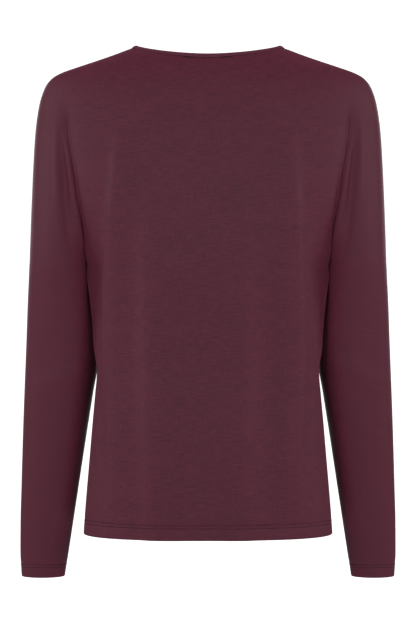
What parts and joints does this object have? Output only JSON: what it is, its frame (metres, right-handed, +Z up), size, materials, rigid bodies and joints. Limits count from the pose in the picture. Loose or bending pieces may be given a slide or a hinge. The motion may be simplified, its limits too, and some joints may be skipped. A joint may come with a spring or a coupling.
{
  "type": "long-sleeved t-shirt",
  "caption": "Long-sleeved jersey top in its worn, hollow form, with a wide bound round neck, sleeves cut in one with the body, and turned hem and cuffs.",
  "frame": {"origin": "centre of the neck opening, on the median plane and level with the high points of both shoulders, where the wearer's neck and shoulders hold the top up", "axes": "+Z up, -Y towards the front, +Y towards the back, +X towards the wearer's left sleeve"},
  "size_m": [0.4942, 0.236, 0.6917],
  "materials": {
    "jersey_back": "soft matt, fine plum single jersey",
    "jersey_front": "soft matt, fine plum single jersey",
    "jersey_binding": "soft matt, fine plum single jersey, folded to a narrow binding"
  },
  "bodies": {
    "root": {"back": "jersey_back", "front": "jersey_front", "neck_binding": "jersey_binding"}
  },
  "joints": []
}
